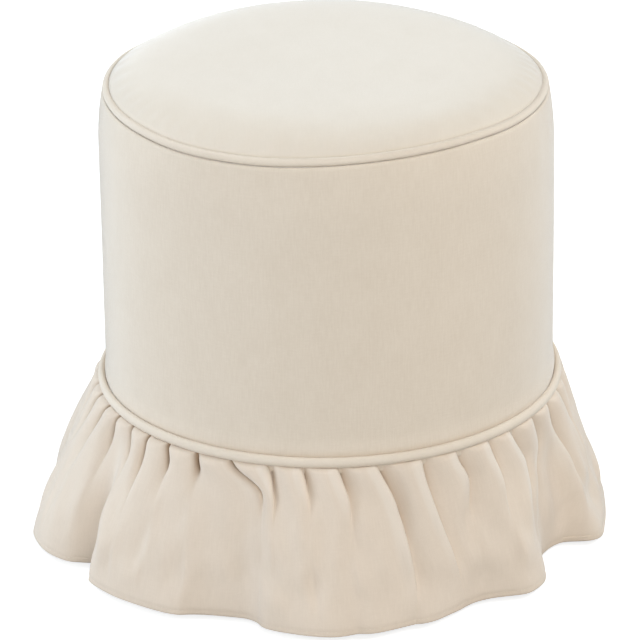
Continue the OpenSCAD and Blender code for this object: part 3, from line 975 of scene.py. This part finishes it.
stitch_count = int(hem_length / (3.4 * mm))
half_long, half_thick = 1.25 * mm, 0.26 * mm
beads = bmesh.new()
for k in range(stitch_count):
    middle, along, out = hem_stitch(k)
    side = along.cross(out).normalized()
    turn = Matrix((along, side, along.cross(side))).transposed().to_4x4()
    size = Matrix.Diagonal((half_long, half_thick, half_thick * 0.8, 1))
    place = Matrix.Translation(middle + out * 0.1 * mm)
    bmesh.ops.create_icosphere(beads, subdivisions=1, radius=1, matrix=place @ turn @ size)
for face in beads.faces:
    face.smooth = True
hem_stitches = finished("hem_stitches", beads)
thread = Finish("sewing_thread", roughness=0.7, Sheen_Weight=0.3)
at = thread.place()
twist = abs((thread.part(at, "Z") * 9000 + thread.part(at, "X") * 7000).sine())
spun = thread.blend(twist, paint(214, 203, 186), paint(232, 223, 208))
thread.surface(colour=spun, height=twist, rise=0.0001)
dress(hem_stitches, thread.material, "skirt_cloth")
print(stitch_count, "stitches in the hem")

# %% [markdown]
# ## Lower band
# Behind the skirt the cover goes on as a plain band and turns under the base, where its
# spare cloth is laid in flat pleats and stapled.

# %% Lower band
base_z, band = 12.6 * mm, 213.9 * mm
band_in, band_low = 183.9 * mm, base_z - 0.6 * mm
under_bend = arc((band - 4 * mm, band_low + 4 * mm), 4 * mm, -90, 0, 8)
band_line = Outline([(band_in, band_low), *under_bend, (band, skirt_seam)])
band_pace = 1.6             # sets the rows closer together under the base


def band_place(s, t):
    angle = back + full_turn * s
    radius, height = band_line.at(t ** band_pace)
    under = smooth(radius, 195 * mm, 203 * mm) * (1 - smooth(height, 16 * mm, 30 * mm))
    pleat = (angle * 48 / full_turn + 0.25 * sin(angle * 3)) % 1.0
    height -= 0.8 * mm * smooth(pleat, 0, 0.8) * (1 - smooth(pleat, 0.9, 1)) * under
    swell = uneven(angle, 0.2 / 0.03, (height + 1) / 0.03) * 0.5 * mm
    radius += swell * smooth(height, 20 * mm, 40 * mm)
    return round_point(angle, radius, height)


band_cut = strip_cut(band, band_line, band_pace)
under_band = cloth_piece("lower_band", 384, 40, band_place, band_cut, cloth_thick)
dress(under_band, linen("band_linen", linen_light, linen_dark), "linen_cloth")
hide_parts("under_band")

# %% [markdown]
# ## Dust cover
# A disc of black non-woven cloth closes the base. It is pressed from short fibres in a
# grid of small welded dots. The band below lifts its edge, and it ripples a little
# between the staples.

# %% Dust cover
dust_flat, dust_edge = 176.7 * mm, 194.2 * mm
dust_z = base_z - 0.3 * mm
dust_low = dust_z - 1.2 * mm
dust_line = Outline([
    (0, dust_z), (dust_flat, dust_z), (band_in - 3.6 * mm, dust_z),
    (band_in - 0.3 * mm, dust_low), (band_in + 3.6 * mm, dust_low), (dust_edge, dust_low),
])
glide_at = 105.9 * mm       # how far each glide is from the middle, both ways
glides = [Vector((x, y, 0)) for x in (-glide_at, glide_at) for y in (-glide_at, glide_at)]


def dust_place(s, t):
    angle = back + full_turn * s
    radius, height = dust_line.at(t)
    from_glide = min((round_point(angle, radius, 0) - glide).length for glide in glides)
    slack = max(0.0, 0.35 - uneven(angle, radius / 0.05, 40))
    slack *= smooth(from_glide, 20 * mm, 60 * mm) * (1 - smooth(radius, 150 * mm, 176 * mm))
    wave = (0.5 + 0.5 * cos(angle * 24)) * smooth(radius, 190 * mm, dust_edge)
    return round_point(angle, radius - 1.2 * mm * wave, height - 0.5 * mm * slack)


def dust_cut(s, t):
    return disc_cut(s, t * dust_line.length)


dust_cover = cloth_piece("dust_cloth_disc", 288, 48, dust_place, dust_cut, 0.6 * mm)
felt = Finish("black_nonwoven", roughness=0.95, Specular_IOR_Level=0.2, Sheen_Weight=0.15)
flat = felt.cut()
across, along = ((felt.part(flat, axis) * (pi / (2.4 * mm))).sine() for axis in "XY")
pressed = felt.ramp(abs(across * along), 0.55, 0.85)
fibre = felt.speckle(felt.stretched(flat, 900, 900), detail=4.0, roughness=0.7)
felt.surface(
    colour=felt.blend(fibre * 0.6 + pressed * 0.4, paint(30, 30, 32), paint(62, 61, 64)),
    roughness=0.96 - pressed * 0.2, height=fibre * 0.6 - pressed, rise=0.00025,
)
dress(dust_cover, felt.material, "dust_cloth")
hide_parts("dust_cover")

# %% [markdown]
# ## Cords, wadding and foam
# None of these shows from outside, but each is a real piece. The cords are twisted from
# cotton strands. The wadding is a springy web of white fibre, so its outline is soft
# and uneven, and the foam is cut from a block, so it stays nearly true.

# %% Cords inside the piping
cotton = Finish("cotton_cord", roughness=0.9, Sheen_Weight=0.3)
yarn = abs((cotton.part(cotton.cut(radians(35)), "X") * 5200).sine())
lint = cotton.speckle(cotton.place(), scale=400)
strands = cotton.blend(yarn * 0.7 + lint * 0.3, paint(216, 208, 192), paint(240, 235, 224))
cotton.surface(colour=strands, height=yarn, rise=0.0003)


def inner_cord(name, node, ring, half_wide, half_high, seam, waves):
    """A twisted cord in the middle of a piping."""
    def place(s, t):
        around, angle = full_turn * t, back + full_turn * s
        twist = 1 - 0.07 * abs(sin(1.5 * (around + angle * 110)))
        height = seam + waves * seam_wave(angle) + half_high * twist * sin(around)
        return round_point(angle, ring + half_wide * twist * cos(around), height)

    def cut(s, t):
        return s * full_turn * ring, t * pi * (half_wide + half_high)

    cord = cloth_piece(name, 720, 14, place, cut, 0)
    dress(cord, cotton.material, "piping_cord")
    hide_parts(node)


for name, ring, half_wide, half_high, seam, waves in (
    ("seat_piping", seat_ring, 2.68 * mm, 2.68 * mm, seam_z, 1),
    ("skirt_piping", skirt_ring, 2.78 * mm, 3.78 * mm, skirt_seam, 0),
):
    inner_cord(name + "_filler", name + "_cord", ring, half_wide, half_high, seam, waves)


# %% Wadding and foam
def padding(name, node, outline, unevenness, grid, material, slot):
    """A closed ring or disc of padding that is turned from a closed outline."""
    line = Outline(outline)

    def place(s, t):
        angle = back + full_turn * s
        radius, height = line.at(t)
        if radius > 1 * mm:
            soft = uneven(angle, radius / 0.03, height / 0.03) - 0.5
            radius += unevenness * soft * 0.5
        lift = smooth(height, 400 * mm, seam_z) * smooth(radius, 140 * mm, 200 * mm)
        return round_point(angle, radius, height + seam_wave(angle) * lift)

    piece = cloth_piece(name, *grid, place, lambda s, t: (s, t), 0)
    dress(piece, material, slot)
    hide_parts(node)


def crown_below(drop):
    """The crown's outline moved in by a thickness, from the middle outwards."""
    moved = []
    for (r0, z0), (r1, z1) in zip(crown[:-1], crown[1:]):
        run = Vector((r1 - r0, z1 - z0)).normalized()
        moved.append((max(0.0, r0 + run.y * drop), z0 - run.x * drop))
    moved[0] = (0.0, moved[0][1])
    return moved + [(crown_edge - drop, seam_z + crown_foot)]


def filler(name, colours, scale, rise):
    finish = Finish(name, roughness=0.95, Sheen_Weight=0.25)
    web = finish.speckle(finish.place(), scale=scale, detail=5.0, roughness=0.7)
    colour = finish.blend(finish.ramp(web, 0.3, 0.7), *colours)
    return finish.surface(colour, height=web, rise=rise)


white_fibre = filler("white_wadding", (paint(226, 226, 222), paint(246, 246, 244)), 260, 0.0012)
foam_cells = filler("cut_foam", (paint(222, 205, 150), paint(240, 226, 176)), 900, 0.0006)
over_foam = crown_below(0.95 * mm) + crown_below(8.8 * mm)[::-1]
padding("seat_wadding_layer", "seat_wadding", over_foam, 0.3 * mm,
        (120, 60), white_fibre, "wadding")
foam_r, foam_low, foam_high = 200 * mm, 398 * mm, 439.5 * mm
foam_block = [(0, foam_low), (foam_r, foam_low), (foam_r, foam_high), *crown_below(9.3 * mm)[::-1]]
padding("seat_foam_block", "seat_foam", foam_block, 0.1 * mm, (120, 60), foam_cells, "foam")
wrap_outline = [(radius * mm, height * mm) for radius, height in (
    (200.3, 12.9), (209.8, 13.2), (212.9, 17), (213, 156.3), (214.5, 156.4), (214.5, 398),
    (213.8, 415), (212.3, 433.2), (200.3, 433.2), (200.3, 12.9),
)]
padding("side_wadding_wrap", "side_wadding", wrap_outline, 0.25 * mm,
        (160, 90), white_fibre, "wadding")

# %% [markdown]
# ## Frame finishes
# The boards, posts, glides, screws and staples keep their CAD shapes and only get
# finishes. Wood is stretched noise, and plywood shows its pale and dark layers at the
# edges.

# %% Wood and board
def wood(name, light, dark, stretch, scale, rings):
    """A wood finish, its tone and its colour. The stretch is smallest along the grain."""
    finish = Finish(name, roughness=0.6, Specular_IOR_Level=0.35)
    run = finish.stretched(finish.place(), *stretch)
    bend = finish.speckle(run, scale=scale, detail=3.0)
    fine = finish.stretched(run, 12, 12, 12)
    pores = finish.speckle(fine, scale=scale, detail=4.0, roughness=0.7)
    tone = abs((bend * rings).sine()) * 0.55 + pores * 0.45
    return finish, tone, finish.blend(tone, dark, light)


pine, tone, colour = wood(
    "planed_pine", paint(231, 204, 156), paint(198, 158, 104), (14, 14, 1), scale=4.0, rings=26)
pine.surface(colour, roughness=0.5 + tone * 0.2, height=tone)
ply, tone, colour = wood(
    "birch_ply", paint(222, 197, 155), paint(190, 158, 112), (1, 14, 14), scale=5.0, rings=9)
layers = (ply.part(ply.place(), "Z") * (pi / (1.5 * mm))).sine()
facing = abs(ply.part(ply.node("ShaderNodeNewGeometry", output=1), "Z"))
edge = ply.ramp(layers, -0.2, 0.2) * (1 - ply.ramp(facing, 0.3, 0.7))
colour = ply.blend(edge * 0.8, colour, paint(150, 112, 72))
ply.surface(colour, roughness=0.55 + tone * 0.2, height=tone - edge * 0.5)
hard = Finish("hardboard", roughness=0.5, Specular_IOR_Level=0.4)
chips = hard.speckle(hard.place(), scale=320, detail=5.0, roughness=0.75)
colour = hard.blend(hard.ramp(chips, 0.3, 0.7), paint(96, 66, 42), paint(138, 100, 68))
hard.surface(colour, roughness=0.4 + chips * 0.3, height=chips)

# %% Plastic and zinc
glide = Finish("moulded_plastic", roughness=0.5, Specular_IOR_Level=0.5)
pebble = glide.speckle(glide.place(), scale=1400, detail=2.0)
scuff = glide.speckle(glide.stretched(glide.place(), 900, 90, 300), detail=3.0)
foot = 1 - glide.ramp(glide.part(glide.place(), "Z"), 0.0, 3 * mm)
colour = glide.blend(glide.ramp(scuff, 0.58, 0.75) * foot, paint(32, 32, 34), paint(92, 90, 88))
glide.surface(colour, roughness=0.42 + pebble * 0.25, height=pebble, rise=0.0001)
zinc = Finish("zinc_plate", roughness=0.35, Metallic=1.0)
cloudy = zinc.speckle(zinc.place(), scale=260, detail=4.0)
colour = zinc.blend(cloudy, paint(168, 171, 176), paint(206, 208, 210))
zinc.surface(colour, roughness=0.25 + cloudy * 0.25, height=cloudy, rise=0.00005)

kept = {
    "top_board": (ply, "plywood"), "base_board": (ply, "plywood"),
    "side_board": (hard, "hardboard"),
    **{node: (zinc, "zinc_steel") for node in ("frame_screws", "foot_screws", "cover_staples")},
    **{f"upright_{i}": (pine, "pine") for i in range(1, 7)},
    **{f"foot_{i}": (glide, "glide_plastic") for i in range(1, 5)},
}
for node, (finish, slot) in kept.items():
    dress(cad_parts[node], finish.material, slot)
print(len(kept), "CAD nodes keep their shape")

# %% [markdown]
# ## Colour management
# The plain Standard view shows a colour as it was written.

# %% Finish
bpy.context.scene.view_settings.view_transform = "Standard"
